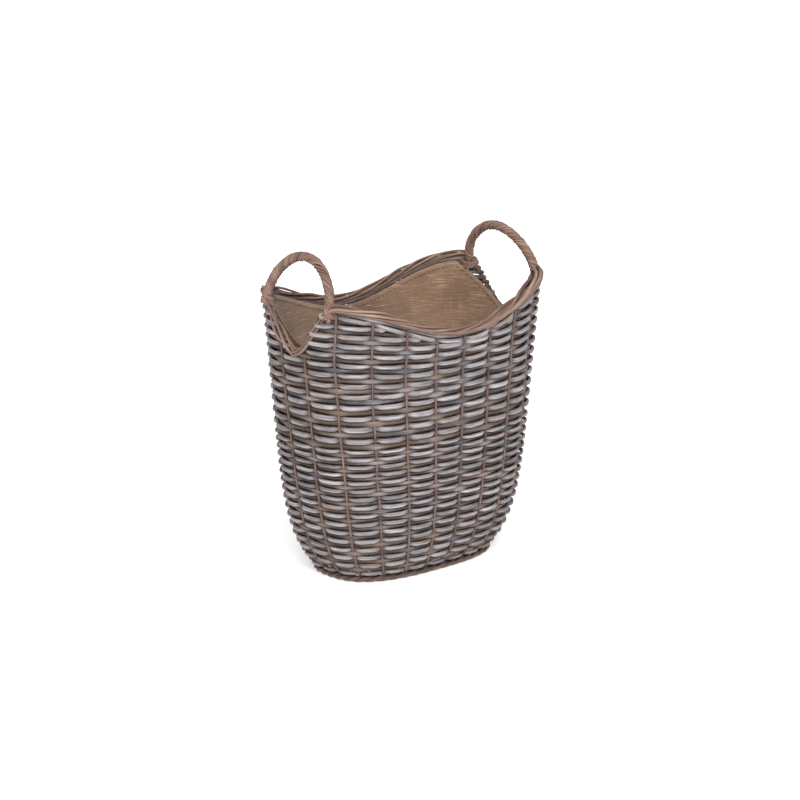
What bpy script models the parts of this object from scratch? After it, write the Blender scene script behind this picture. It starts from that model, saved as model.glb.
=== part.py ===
"""Wicker log basket: an oval basket of woven willow with a roped handle at each end and a
hessian lining.

X runs along the basket, Y across it and Z up. The origin is the middle of the base, on the
floor. Sizes are in metres. The basket is laid out on columns: one at every upright stake and
one half-way between neighbouring stakes. A place on the rim is a number of columns counted
from the middle of the +X end, and may lie between two columns.
"""

from math import cos, exp, hypot, pi, radians, sin

import bmesh
import bpy
from mathutils import Vector

# Outline seen from above: a rounded oval, wider at the rim than at the floor
HALF_LENGTH_FLOOR = 0.158
HALF_LENGTH_RIM = 0.2523
HALF_WIDTH_FLOOR = 0.087
HALF_WIDTH_RIM = 0.1693
OVAL_EXPONENT = 2.7

# Flare of the side: part of it opens out fast near the floor, the rest evenly up to the rim
FAST_FLARE_SHARE = 0.57
FAST_FLARE_HEIGHT = 0.05
FLARE_TOP = 0.5
OUTLINE_SPACING_HEIGHT = 0.3
PROFILE_HEIGHTS = (0.012, 0.027, 0.045, 0.070, 0.105, 0.160, 0.270, 0.500)

# Rim: highest at the feet of the handles, sagging along the sides, a V at each end
RIM_HEIGHT = 0.497
SIDE_SAG = 0.058
END_NOTCH = 0.088
NOTCH_ROUNDING = 0.3

# Stakes and weave
STAKE_COUNT = 22
STAKE_RADIUS = 0.0035
TUNNEL_RADIUS = 0.0039
STAKE_END_BELOW_BORDER = 0.006
WALL_THICKNESS = 0.016
UPSETT_TOP = 0.045
LOWER_WEAVE_TOP = 0.270
GAP = 0.0003

# Borders: bundles of parallel rods laid over the rim
SIDE_BORDER_THICKNESS = 0.015
END_BORDER_THICKNESS = 0.011
BORDER_LOBES = 4
BORDER_LOBE_DEPTH = 0.09
BORDER_SIDES = 12
BORDER_STEP = 0.5
BORDER_END_FROM_HANDLE = 0.45

# Handles: a bent rod with its ends pushed down into the weave, wrapped by three strands
HANDLE_FOOT_COLUMN = 3
HANDLE_TOP_HEIGHT = 0.563
HANDLE_TOP_REACH = 0.212
HANDLE_ARCH_EXPONENT = 1.77
HANDLE_LEG_BOTTOM = 0.400
HANDLE_FOOT_CLEARANCE = 0.0012
BOW_RADIUS = 0.0029
STRAND_COUNT = 3
STRAND_INNER_RADIUS = 0.0044
STRAND_GROOVE_RADIUS = 0.0071
STRAND_OUTER_RADIUS = 0.0083
STRAND_HALF_ANGLE = 57.5
STRAND_TURNS = 3.0
STRAND_STATIONS = 30

# Foot border and base
FOOT_HEIGHT = 0.0117
FOOT_WIDTH = 0.020
FOOT_CHAMFER = 0.003
BASE_WEAVE_THICKNESS = 0.0075
BASE_EDGE_CLEARANCE = 0.0006
BASE_STICK_END_CLEARANCE = 0.003
BASE_STICK_RADIUS = 0.0032
CROSS_STICK_COUNT = 5
CROSS_STICK_SPACING = 0.040
LONG_STICK_COUNT = 3
LONG_STICK_SPACING = 0.036

# Hessian lining and the twine that sews its hem to the weave
LINING_THICKNESS = 0.002
LINING_CLEARANCE = 0.0005
LINING_BOTTOM = 0.027
LINING_DROP_SIDE = 0.028
LINING_DROP_END = 0.022
TWINE_RADIUS = 0.0006
TWINE_BELOW_HEM = 0.008

COLUMN_COUNT = 2 * STAKE_COUNT
HEX_SIDES = 6

MATERIALS = {
    "willow_weave": ((0.235, 0.195, 0.170), 0.75),
    "willow_stake": ((0.200, 0.105, 0.075), 0.70),
    "willow_border": ((0.290, 0.175, 0.125), 0.65),
    "willow_handle": ((0.215, 0.140, 0.105), 0.65),
    "willow_foot": ((0.215, 0.120, 0.090), 0.70),
    "willow_base": ((0.255, 0.185, 0.140), 0.75),
    "hessian_cloth": ((0.330, 0.200, 0.115), 0.95),
    "jute_twine": ((0.420, 0.290, 0.180), 0.90),
}


# ---- layout -------------------------------------------------------------------------------


def oval_direction(angle):
    """Point of the unit oval in the direction of an angle."""
    reach = (abs(cos(angle)) ** OVAL_EXPONENT + abs(sin(angle)) ** OVAL_EXPONENT) ** (
        -1.0 / OVAL_EXPONENT
    )
    return reach * cos(angle), reach * sin(angle)


def smooth_half_axes(height):
    """Outer half-length and half-width of the basket at a height, on the smooth profile."""
    fast = 1.0 - exp(-height / FAST_FLARE_HEIGHT)
    flare = FAST_FLARE_SHARE * fast + (1.0 - FAST_FLARE_SHARE) * height / FLARE_TOP
    half_length = HALF_LENGTH_FLOOR + (HALF_LENGTH_RIM - HALF_LENGTH_FLOOR) * flare
    half_width = HALF_WIDTH_FLOOR + (HALF_WIDTH_RIM - HALF_WIDTH_FLOOR) * flare
    return half_length, half_width


def half_axes(height):
    """Half-length and half-width on the straight runs between the profile heights."""
    below = max(h for h in PROFILE_HEIGHTS[:-1] if h <= height or h == PROFILE_HEIGHTS[0])
    above = PROFILE_HEIGHTS[PROFILE_HEIGHTS.index(below) + 1]
    share = (height - below) / (above - below)
    low = smooth_half_axes(below)
    high = smooth_half_axes(above)
    return tuple(a + (b - a) * share for a, b in zip(low, high))


def column_angles():
    """Directions of the columns, spaced evenly along the outline at one height."""
    fine = 3600
    half_length, half_width = smooth_half_axes(OUTLINE_SPACING_HEIGHT)
    points = []
    for index in range(fine + 1):
        x, y = oval_direction(2 * pi * index / fine)
        points.append((half_length * x, half_width * y))
    lengths = [0.0]
    for (x0, y0), (x1, y1) in zip(points, points[1:]):
        lengths.append(lengths[-1] + hypot(x1 - x0, y1 - y0))
    angles = []
    position = 0
    for column in range(COLUMN_COUNT):
        target = lengths[-1] * column / COLUMN_COUNT
        while lengths[position + 1] < target:
            position += 1
        share = (target - lengths[position]) / (lengths[position + 1] - lengths[position])
        angles.append(2 * pi * (position + share) / fine)
    return angles


COLUMN_ANGLES = column_angles()


def wall_point(column, height, inset):
    """Point at a column and height, moved in from the outer face by the inset."""
    whole = int(column // 1)
    share = column - whole
    start = COLUMN_ANGLES[whole % COLUMN_COUNT]
    step = (COLUMN_ANGLES[(whole + 1) % COLUMN_COUNT] - start) % (2 * pi)
    x, y = oval_direction(start + step * share)
    half_length, half_width = half_axes(height)
    return Vector(((half_length - inset) * x, (half_width - inset) * y, height))


def outward(column, height):
    """Level direction straight out of the wall at a column."""
    before = wall_point(column - 0.25, height, 0.0)
    after = wall_point(column + 0.25, height, 0.0)
    along = (after - before).normalized()
    return Vector((along.y, -along.x, 0.0))


def columns_from_end(column):
    """Columns between a place on the rim and the middle of the nearer end."""
    half_turn = COLUMN_COUNT / 2
    return min(column % half_turn, half_turn - column % half_turn)


def rim_height(column):
    """Height of the top of the border over a column."""
    distance = columns_from_end(column)
    if distance < HANDLE_FOOT_COLUMN:
        share = distance / HANDLE_FOOT_COLUMN
        depth = hypot(1.0, NOTCH_ROUNDING) - hypot(share, NOTCH_ROUNDING)
        return RIM_HEIGHT - END_NOTCH * depth / (hypot(1.0, NOTCH_ROUNDING) - NOTCH_ROUNDING)
    share = (distance - HANDLE_FOOT_COLUMN) / (COLUMN_COUNT / 4 - HANDLE_FOOT_COLUMN)
    return RIM_HEIGHT - SIDE_SAG * 0.5 * (1.0 - cos(pi * share))


def slope_factor(column):
    """How much taller an upright cut through the sloping border is than a square cut."""
    steepest = 0.0
    for neighbour in (column - 1, column + 1):
        rise = rim_height(neighbour) - rim_height(column)
        run = wall_point(neighbour, RIM_HEIGHT, 0.0) - wall_point(column, RIM_HEIGHT, 0.0)
        steepest = max(steepest, abs(rise) / run.length)
    return hypot(1.0, steepest)


def below_rim(column, side_depth, end_depth):
    """Height at a whole column, a square depth below the top of the border."""
    if columns_from_end(column) == HANDLE_FOOT_COLUMN:
        return rim_height(column) - side_depth
    depth = end_depth if columns_from_end(column) < HANDLE_FOOT_COLUMN else side_depth
    return rim_height(column) - depth * slope_factor(column)


def wall_top(column):
    """Height of the top of the weave at a whole column."""
    return below_rim(column, SIDE_BORDER_THICKNESS + GAP, END_BORDER_THICKNESS + GAP)


# ---- mesh helpers -------------------------------------------------------------------------


def make_material(name):
    """Plain material with the colour and roughness of its entry."""
    colour, roughness = MATERIALS[name]
    material = bpy.data.materials.new(name)
    material.use_nodes = True
    shader = material.node_tree.nodes["Principled BSDF"]
    shader.inputs["Base Color"].default_value = (*colour, 1.0)
    shader.inputs["Roughness"].default_value = roughness
    shader.inputs["Metallic"].default_value = 0.0
    material.diffuse_color = (*colour, 1.0)
    return material


def add_object(name, points, faces, material, smooth=False):
    """Closed mesh object with its faces turned outward."""
    mesh = bpy.data.meshes.new(name)
    mesh.from_pydata([tuple(point) for point in points], [], faces)
    work = bmesh.new()
    work.from_mesh(mesh)
    bmesh.ops.recalc_face_normals(work, faces=work.faces)
    for face in work.faces:
        face.smooth = smooth
    work.to_mesh(mesh)
    work.free()
    mesh.materials.append(material)
    bpy.context.collection.objects.link(bpy.data.objects.new(name, mesh))


def join_rings(faces, first, second, count):
    """Quads between two closed rings of points, given by their first indices."""
    for index in range(count):
        following = (index + 1) % count
        faces.append((first + index, first + following, second + following, second + index))


def bar(name, sections, material, smooth=True):
    """Solid through a row of equal closed sections, closed at both ends."""
    count = len(sections[0])
    points = [point for section in sections for point in section]
    faces = []
    for row in range(len(sections) - 1):
        join_rings(faces, row * count, (row + 1) * count, count)
    faces.append(tuple(range(count)))
    faces.append(tuple(range(len(points) - count, len(points))))
    add_object(name, points, faces, material, smooth)


def hoop(name, sections, material, smooth=True):
    """Solid ring through equal closed sections that come back to the first."""
    count = len(sections[0])
    points = [point for section in sections for point in section]
    faces = []
    for row in range(len(sections)):
        join_rings(faces, row * count, ((row + 1) % len(sections)) * count, count)
    add_object(name, points, faces, material, smooth)


def section_at(centre, tangent, level_out, outline):
    """Closed section square to a path; outline gives (out, up) offsets from the centre."""
    out = (level_out - tangent * level_out.dot(tangent)).normalized()
    up = out.cross(tangent).normalized()
    return [centre + out * a + up * b for a, b in outline]


def circle(radius, sides, start=0.0):
    """Offsets of a regular polygon."""
    steps = [start + 2 * pi * index / sides for index in range(sides)]
    return [(radius * cos(step), radius * sin(step)) for step in steps]


def path_tangent(path, index):
    """Direction of a row of points at one of them."""
    before = path[max(index - 1, 0)]
    after = path[min(index + 1, len(path) - 1)]
    return (after - before).normalized()


# ---- weave and stakes ---------------------------------------------------------------------


def band_rows(bottom, top):
    """Rows of column heights of a band: the profile heights between its bottom and its top."""
    rows = [[bottom] * COLUMN_COUNT]
    inner = [h for h in PROFILE_HEIGHTS if h > bottom and all(h < edge for edge in top)]
    rows += [[height] * COLUMN_COUNT for height in inner]
    rows.append(list(top))
    return rows


def stake_ring(column, height, radius):
    """Level six-sided ring in the middle of the wall at a stake, first corner outward."""
    centre = wall_point(column, height, WALL_THICKNESS / 2)
    out = outward(column, height)
    along = Vector((-out.y, out.x, 0.0))
    return [centre + out * a + along * b for a, b in circle(radius, HEX_SIDES)]


def tunnel_ring(column, heights):
    """Ring of the tunnel around a stake, following the slope of the row of heights."""
    middle = wall_point(column, heights[column], WALL_THICKNESS / 2)
    ring = stake_ring(column, heights[column], TUNNEL_RADIUS)
    for point in ring:
        ahead = (point - middle).cross(outward(column, heights[column])).z < 0
        neighbour = (column + 1 if ahead else column - 1) % COLUMN_COUNT
        away = wall_point(neighbour, heights[column], WALL_THICKNESS / 2) - middle
        share = max(0.0, (point - middle).dot(away) / away.length_squared)
        point.z += (heights[neighbour] - heights[column]) * share
    return ring


def weave_band(name, bottom, top, material):
    """Wall of the basket between two heights, with an open tunnel around every stake."""
    rows = band_rows(bottom, top)
    points = []
    for heights in rows:
        for inset in (0.0, WALL_THICKNESS):
            for column in range(COLUMN_COUNT):
                points.append(wall_point(column, heights[column], inset))
        for column in range(1, COLUMN_COUNT, 2):
            points += tunnel_ring(column, heights)
    row_size = 2 * COLUMN_COUNT + HEX_SIDES * STAKE_COUNT
    tunnels = 2 * COLUMN_COUNT
    faces = []
    for row in range(len(rows) - 1):
        here = row * row_size
        above = here + row_size
        join_rings(faces, here, above, COLUMN_COUNT)
        join_rings(faces, here + COLUMN_COUNT, above + COLUMN_COUNT, COLUMN_COUNT)
        for stake in range(STAKE_COUNT):
            ring = tunnels + stake * HEX_SIDES
            join_rings(faces, here + ring, above + ring, HEX_SIDES)
    for row in (0, len(rows) - 1):
        here = row * row_size
        for stake in range(STAKE_COUNT):
            before, at, after = (2 * stake, 2 * stake + 1, (2 * stake + 2) % COLUMN_COUNT)
            inner = COLUMN_COUNT
            around = (at, after, inner + after, inner + at, inner + before, before)
            ring = tunnels + stake * HEX_SIDES
            for side in range(HEX_SIDES):
                following = (side + 1) % HEX_SIDES
                faces.append(
                    (
                        here + around[side],
                        here + around[following],
                        here + ring + following,
                        here + ring + side,
                    )
                )
    add_object(name, points, faces, material)


def stake(name, column, top, material):
    """Upright stake through the tunnels of the weave."""
    bottom = PROFILE_HEIGHTS[0]
    heights = [bottom] + [h for h in PROFILE_HEIGHTS if bottom < h < top] + [top]
    bar(name, [stake_ring(column, height, STAKE_RADIUS) for height in heights], material)


def build_sides(materials):
    """Three bands of weave and the stakes inside them."""
    weave = materials["willow_weave"]
    upsett_top = [UPSETT_TOP - GAP] * COLUMN_COUNT
    lower_top = [LOWER_WEAVE_TOP - GAP] * COLUMN_COUNT
    upper_top = [wall_top(column) for column in range(COLUMN_COUNT)]
    weave_band("upsett_wale", PROFILE_HEIGHTS[0], upsett_top, weave)
    weave_band("lower_weave", UPSETT_TOP, lower_top, weave)
    weave_band("upper_weave", LOWER_WEAVE_TOP, upper_top, weave)
    for index in range(STAKE_COUNT):
        column = 2 * index + 1
        top = wall_top(column) - STAKE_END_BELOW_BORDER
        if columns_from_end(column) == HANDLE_FOOT_COLUMN:
            top = HANDLE_LEG_BOTTOM - GAP
        stake(f"side_stake_{index + 1:02d}", column, top, materials["willow_stake"])


# ---- borders ------------------------------------------------------------------------------


def lobed_outline(radius):
    """Section of a bundle of parallel rods."""
    outline = []
    for index in range(BORDER_SIDES):
        turn = 2 * pi * index / BORDER_SIDES
        reach = radius * (1.0 - BORDER_LOBE_DEPTH * (1.0 - cos(BORDER_LOBES * turn)) / 2)
        outline.append((reach * cos(turn), reach * sin(turn)))
    return outline


def border_centre(column, thickness):
    """Middle of the border over a place on the rim, straight between whole columns."""
    low = column // 1
    share = column - low
    ends = []
    for whole in (low, low + 1):
        ends.append(below_rim(whole, thickness / 2, thickness / 2))
    return wall_point(column, ends[0] + (ends[1] - ends[0]) * share, WALL_THICKNESS / 2)


def border(name, first_column, last_column, thickness, material):
    """Border along the rim between two handle feet, clear of both handles."""
    start = first_column + BORDER_END_FROM_HANDLE
    end = last_column - BORDER_END_FROM_HANDLE
    places = [start]
    while places[-1] + 1.5 * BORDER_STEP < end:
        places.append((places[-1] // BORDER_STEP + 1) * BORDER_STEP)
    places.append(end)
    path = [border_centre(place, thickness) for place in places]
    outline = lobed_outline(thickness / 2)
    sections = []
    for index, place in enumerate(places):
        tangent = path_tangent(path, index)
        sections.append(section_at(path[index], tangent, outward(place, RIM_HEIGHT), outline))
    bar(name, sections, material)


def build_borders(materials):
    """Thick borders on the long sides and thinner ones in the notches at the ends."""
    willow = materials["willow_border"]
    half_turn = COLUMN_COUNT // 2
    foot = HANDLE_FOOT_COLUMN
    border("back_border", foot, half_turn - foot, SIDE_BORDER_THICKNESS, willow)
    border("left_end_border", half_turn - foot, half_turn + foot, END_BORDER_THICKNESS, willow)
    border("front_border", half_turn + foot, 2 * half_turn - foot, SIDE_BORDER_THICKNESS, willow)
    border("right_end_border", -foot, foot, END_BORDER_THICKNESS, willow)


# ---- handles ------------------------------------------------------------------------------


def handle_arch(foot, end_sign, share):
    """Point of the middle line of a handle, from its back foot (0) to its front foot (1)."""
    turn = pi * share
    climb = sin(turn) ** (2.0 / HANDLE_ARCH_EXPONENT)
    spread = abs(cos(turn)) ** (2.0 / HANDLE_ARCH_EXPONENT)
    side = 1.0 if share < 0.5 else -1.0
    return Vector(
        (
            end_sign * (foot.x + (HANDLE_TOP_REACH - foot.x) * climb),
            side * foot.y * spread,
            foot.z + (HANDLE_TOP_HEIGHT - foot.z) * climb,
        )
    )


def strand_outline(centre_angle):
    """Section of one strand: a third of a ring with two rounded rods on its outside."""
    corners = (
        (-STRAND_HALF_ANGLE, STRAND_INNER_RADIUS),
        (-0.85 * STRAND_HALF_ANGLE, STRAND_GROOVE_RADIUS),
        (-0.45 * STRAND_HALF_ANGLE, STRAND_OUTER_RADIUS),
        (0.0, STRAND_GROOVE_RADIUS),
        (0.45 * STRAND_HALF_ANGLE, STRAND_OUTER_RADIUS),
        (0.85 * STRAND_HALF_ANGLE, STRAND_GROOVE_RADIUS),
        (STRAND_HALF_ANGLE, STRAND_INNER_RADIUS),
        (0.0, STRAND_INNER_RADIUS),
    )
    outline = []
    for angle, radius in corners:
        turn = centre_angle + radians(angle)
        outline.append((radius * cos(turn), radius * sin(turn)))
    return outline


def build_handle(side_name, end_sign, material):
    """Bent rod from weave to weave and the three strands twisted around it."""
    column = HANDLE_FOOT_COLUMN
    foot = wall_point(column, wall_top(column) + HANDLE_FOOT_CLEARANCE, WALL_THICKNESS / 2)
    arch = []
    for station in range(STRAND_STATIONS + 1):
        arch.append(handle_arch(foot, end_sign, station / STRAND_STATIONS))
    leg = wall_point(column, HANDLE_LEG_BOTTOM, WALL_THICKNESS / 2)
    back_leg = Vector((end_sign * leg.x, leg.y, leg.z))
    front_leg = Vector((end_sign * leg.x, -leg.y, leg.z))
    level_out = Vector((end_sign, 0.0, 0.0))
    path = [back_leg] + arch + [front_leg]
    bow = []
    for index, centre in enumerate(path):
        tangent = path_tangent(path, index)
        bow.append(section_at(centre, tangent, level_out, circle(BOW_RADIUS, HEX_SIDES)))
    bar(f"handle_bow_{side_name}", bow, material)
    for strand in range(STRAND_COUNT):
        sections = []
        for station, centre in enumerate(arch):
            twist = 2 * pi * (STRAND_TURNS * station / STRAND_STATIONS + strand / STRAND_COUNT)
            tangent = path_tangent(path, station + 1)
            sections.append(section_at(centre, tangent, level_out, strand_outline(twist)))
        bar(f"handle_strand_{side_name}_{strand + 1}", sections, material)


# ---- foot and base ------------------------------------------------------------------------


def oval_ring(height, inset):
    """Closed ring of points on the outline at a height."""
    return [wall_point(column, height, inset) for column in range(COLUMN_COUNT)]


def plate(name, bottom, top, inset, material):
    """Flat oval plate whose edge keeps the outline at its underside."""
    low = oval_ring(bottom, inset)
    high = [Vector((point.x, point.y, top)) for point in low]
    bar(name, [low, high], material, smooth=False)


def build_foot(materials):
    """Border of rods under the side, flat on the floor."""
    outline = (
        (0.0, FOOT_CHAMFER),
        (0.0, FOOT_HEIGHT - FOOT_CHAMFER),
        (-FOOT_CHAMFER, FOOT_HEIGHT),
        (FOOT_CHAMFER - FOOT_WIDTH, FOOT_HEIGHT),
        (-FOOT_WIDTH, FOOT_HEIGHT - FOOT_CHAMFER),
        (-FOOT_WIDTH, FOOT_CHAMFER),
        (FOOT_CHAMFER - FOOT_WIDTH, 0.0),
        (-FOOT_CHAMFER, 0.0),
    )
    sections = []
    for column in range(COLUMN_COUNT):
        section = []
        for out, height in outline:
            edge = wall_point(column, PROFILE_HEIGHTS[0], -out)
            section.append(Vector((edge.x, edge.y, height)))
        sections.append(section)
    hoop("foot_border", sections, materials["willow_foot"], smooth=False)


def base_stick(name, start, end, material):
    """Straight six-sided stick between two points."""
    tangent = (end - start).normalized()
    level_out = Vector((-tangent.y, tangent.x, 0.0))
    outline = circle(BASE_STICK_RADIUS, HEX_SIDES)
    sections = [section_at(end_point, tangent, level_out, outline) for end_point in (start, end)]
    bar(name, sections, material)


def build_base(materials):
    """Woven base with sticks across it below and along it above."""
    willow = materials["willow_base"]
    bottom = FOOT_HEIGHT + GAP
    top = bottom + BASE_WEAVE_THICKNESS
    plate("base_weave", bottom, top, WALL_THICKNESS + BASE_EDGE_CLEARANCE, willow)
    half_length, half_width = half_axes(PROFILE_HEIGHTS[0])
    cross_height = FOOT_HEIGHT - BASE_STICK_RADIUS
    for index in range(CROSS_STICK_COUNT):
        x = (index - (CROSS_STICK_COUNT - 1) / 2) * CROSS_STICK_SPACING
        reach = (1.0 - (abs(x) / half_length) ** OVAL_EXPONENT) ** (1.0 / OVAL_EXPONENT)
        y = half_width * reach - FOOT_WIDTH - BASE_STICK_END_CLEARANCE
        start = Vector((x, -y, cross_height))
        end = Vector((x, y, cross_height))
        base_stick(f"base_stick_cross_{index + 1}", start, end, willow)
    long_height = top + GAP + BASE_STICK_RADIUS
    for index in range(LONG_STICK_COUNT):
        y = (index - (LONG_STICK_COUNT - 1) / 2) * LONG_STICK_SPACING
        reach = (1.0 - (abs(y) / half_width) ** OVAL_EXPONENT) ** (1.0 / OVAL_EXPONENT)
        x = half_length * reach - WALL_THICKNESS - BASE_STICK_END_CLEARANCE
        start = Vector((-x, y, long_height))
        end = Vector((x, y, long_height))
        base_stick(f"base_stick_long_{index + 1}", start, end, willow)


# ---- lining -------------------------------------------------------------------------------


def lining_top(column):
    """Height of the hem of the lining at a whole column."""
    return below_rim(column, LINING_DROP_SIDE, LINING_DROP_END)


def build_lining(materials):
    """Hessian wall and bottom inside the weave, and the twine along the hem."""
    cloth = materials["hessian_cloth"]
    outer = WALL_THICKNESS + LINING_CLEARANCE
    inner = outer + LINING_THICKNESS
    tops = [lining_top(column) for column in range(COLUMN_COUNT)]
    rows = band_rows(LINING_BOTTOM, tops)
    sections = []
    for column in range(COLUMN_COUNT):
        outside = [wall_point(column, heights[column], outer) for heights in rows]
        inside = [wall_point(column, heights[column], inner) for heights in reversed(rows)]
        sections.append(outside + inside)
    hoop("lining_wall", sections, cloth, smooth=False)
    bottom = LINING_BOTTOM
    plate("lining_base", bottom, bottom + LINING_THICKNESS, inner + LINING_CLEARANCE, cloth)
    twine = []
    for column in range(COLUMN_COUNT):
        depth = TWINE_BELOW_HEM
        height = below_rim(column, LINING_DROP_SIDE + depth, LINING_DROP_END + depth)
        centre = wall_point(column, height, inner + LINING_CLEARANCE + TWINE_RADIUS)
        out = outward(column, height)
        up = Vector((0.0, 0.0, 1.0))
        twine.append([centre + out * a + up * b for a, b in circle(TWINE_RADIUS, 4)])
    hoop("lining_stitching", twine, materials["jute_twine"])


def main():
    for old in list(bpy.data.objects):
        bpy.data.objects.remove(old)
    materials = {name: make_material(name) for name in MATERIALS}
    build_foot(materials)
    build_base(materials)
    build_sides(materials)
    build_borders(materials)
    build_handle("left", -1.0, materials["willow_handle"])
    build_handle("right", 1.0, materials["willow_handle"])
    build_lining(materials)


main()
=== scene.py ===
"""Looks of the wicker log basket: real woven rods, borders, roped handles and hessian lining."""

from math import cos, pi, radians, sin

import bpy
import numpy as np
from mathutils import Matrix, Vector


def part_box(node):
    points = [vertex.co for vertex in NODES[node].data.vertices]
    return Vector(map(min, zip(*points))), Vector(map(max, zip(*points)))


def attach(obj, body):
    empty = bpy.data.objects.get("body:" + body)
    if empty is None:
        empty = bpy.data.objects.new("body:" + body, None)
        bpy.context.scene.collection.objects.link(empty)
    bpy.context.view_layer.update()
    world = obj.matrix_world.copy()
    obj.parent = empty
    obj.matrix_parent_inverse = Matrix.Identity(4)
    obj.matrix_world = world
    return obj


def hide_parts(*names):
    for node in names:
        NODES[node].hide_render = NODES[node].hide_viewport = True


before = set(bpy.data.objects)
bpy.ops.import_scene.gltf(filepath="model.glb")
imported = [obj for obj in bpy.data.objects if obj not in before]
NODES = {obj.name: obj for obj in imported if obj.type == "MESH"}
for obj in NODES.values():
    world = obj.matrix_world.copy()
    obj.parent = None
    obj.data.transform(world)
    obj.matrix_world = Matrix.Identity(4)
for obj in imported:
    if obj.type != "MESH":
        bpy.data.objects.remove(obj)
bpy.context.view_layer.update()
rng = np.random.default_rng(7)

# ---- driving sizes, from the frame --------------------------------------------------------

STAKE_COUNT = sum(name.startswith("side_stake_") for name in NODES)
FOOT_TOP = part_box("foot_border")[1].z
RIM_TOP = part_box("front_border")[1].z
LINING_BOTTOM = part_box("lining_wall")[0].z
STICK_RADIUS = (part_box("base_stick_long_1")[1].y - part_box("base_stick_long_1")[0].y) / 2
HANDLE_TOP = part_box("handle_bow_right")[1].z

# Shape of the oval, its flare and the wave of the rim, as the CAD part has them
OVAL_EXPONENT = 2.7
FAST_FLARE_HEIGHT = 0.05
RIM_HEIGHT = 0.497
SIDE_SAG = 0.058
END_NOTCH = 0.088
LEFT_NOTCH_ROUNDING = 0.3
RIGHT_NOTCH_ROUNDING = 0.6
LEFT_NOTCH_RISE = 0.002  # the left notch is this much shallower
SIDE_BORDER = 0.015
END_BORDER = 0.011
WALL = 0.016
FOOT_PLACE = 1.5  # stakes from the middle of an end to a handle's foot, in the even rim shape
LEFT_FOOT = 1.29  # the same for both feet of the left handle, which stands narrower
BACK_RIGHT_FOOT = 1.34  # and for the back foot of the right one
LEFT_NOTCH_MIDDLE = 0.22  # stakes from the middle of the left end to the bottom of its notch

# Rods
MIDDLE = WALL / 2  # depth of the middle of the wall
STAKE_HALF = 0.0027
WEAVER_HALF = 0.0033
SWING = 0.0050  # how far a weaver moves in and out of the middle of the wall
SAMPLES_PER_STAKE = 10
ROD_SIDES = 8


# ---- layout of the wall -------------------------------------------------------------------


def oval(angle):
    """Points of the unit oval in the directions of the angles."""
    c, s = np.cos(angle), np.sin(angle)
    reach = (np.abs(c) ** OVAL_EXPONENT + np.abs(s) ** OVAL_EXPONENT) ** (-1.0 / OVAL_EXPONENT)
    return reach * c, reach * s


def flare_terms(height):
    """Terms of the profile: a constant, a fast rise near the floor and an even rise."""
    height = np.asarray(height, float)
    fast = 1.0 - np.exp(-height / FAST_FLARE_HEIGHT)
    return np.stack([np.ones_like(height), fast, height], axis=-1)


def solve_profile():
    """Profile that passes through the outlines of the foot and of two bands of the weave."""
    heights = []
    sizes = []
    for node in ("foot_border", "upsett_wale", "lower_weave"):
        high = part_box(node)[1]
        heights.append(high.z)
        sizes.append((high.x, high.y))
    return np.linalg.solve(flare_terms(heights), np.array(sizes))


PROFILE = solve_profile()
PROUD = 0.0015  # how far the bulging rods stand out of the smooth CAD wall


def half_axes(height):
    """Outer half-length and half-width at heights."""
    sizes = flare_terms(height) @ PROFILE + PROUD
    return sizes[..., 0], sizes[..., 1]


def spread_places():
    """Directions against places, which count stakes evenly along the outline."""
    angles = np.linspace(0.0, 2 * pi, 3601)
    x, y = oval(angles)
    half_length, half_width = half_axes(0.3)
    steps = np.hypot(np.diff(half_length * x), np.diff(half_width * y))
    lengths = np.concatenate([[0.0], np.cumsum(steps)])
    return lengths / lengths[-1] * STAKE_COUNT, angles


PLACE_TABLE, ANGLE_TABLE = spread_places()
LEAN = 0.85  # stakes by which places shift for each metre up from LEAN_HEIGHT
LEAN_HEIGHT = 0.27


def below_handles(height):
    """1 over most of the wall, falling to 0 at the feet of the handles, which don't lean."""
    return np.clip((0.47 - np.asarray(height, float)) / 0.09, 0.0, 1.0)


def wall(place, height, inset):
    """Points of the wall at places and heights, moved in from the outer face."""
    place = np.asarray(place, float) - LEAN * (height - LEAN_HEIGHT) * below_handles(height)
    turns = np.floor(place / STAKE_COUNT)
    angle = np.interp(place - turns * STAKE_COUNT, PLACE_TABLE, ANGLE_TABLE)
    x, y = oval(angle)
    half_length, half_width = half_axes(height)
    height = np.broadcast_to(height, x.shape)
    return np.stack([(half_length - inset) * x, (half_width - inset) * y, height], axis=-1)


def unit(vectors):
    """Vectors of length 1."""
    return vectors / np.linalg.norm(vectors, axis=-1, keepdims=True)


def wall_normal(place, height):
    """Outward normals of the wall."""
    along = wall(place + 0.02, height, 0.0) - wall(place - 0.02, height, 0.0)
    up = wall(place, height + 0.002, 0.0) - wall(place, height - 0.002, 0.0)
    return unit(np.cross(along, up))


FEET = {
    "right_back": BACK_RIGHT_FOOT,
    "left_back": STAKE_COUNT / 2 - LEFT_FOOT,
    "left_front": STAKE_COUNT / 2 + LEFT_FOOT,
    "right_front": STAKE_COUNT - FOOT_PLACE,
}
QUARTERS = [STAKE_COUNT * quarter / 4 for quarter in range(5)]
EVEN_FEET = [FOOT_PLACE, QUARTERS[2] - FOOT_PLACE, QUARTERS[2] + FOOT_PLACE, STAKE_COUNT - FOOT_PLACE]
REAL_PLACES = sorted([*FEET.values(), *QUARTERS])
REAL_PLACES[REAL_PLACES.index(QUARTERS[2])] += LEFT_NOTCH_MIDDLE
EVEN_PLACES = sorted([*EVEN_FEET, *QUARTERS])


def from_end(place):
    """Stakes between places and the middle of the nearer end, with the handles' feet evened out."""
    half = STAKE_COUNT / 2
    along = np.mod(np.interp(np.mod(place, STAKE_COUNT), REAL_PLACES, EVEN_PLACES), half)
    return np.minimum(along, half - along)


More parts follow.
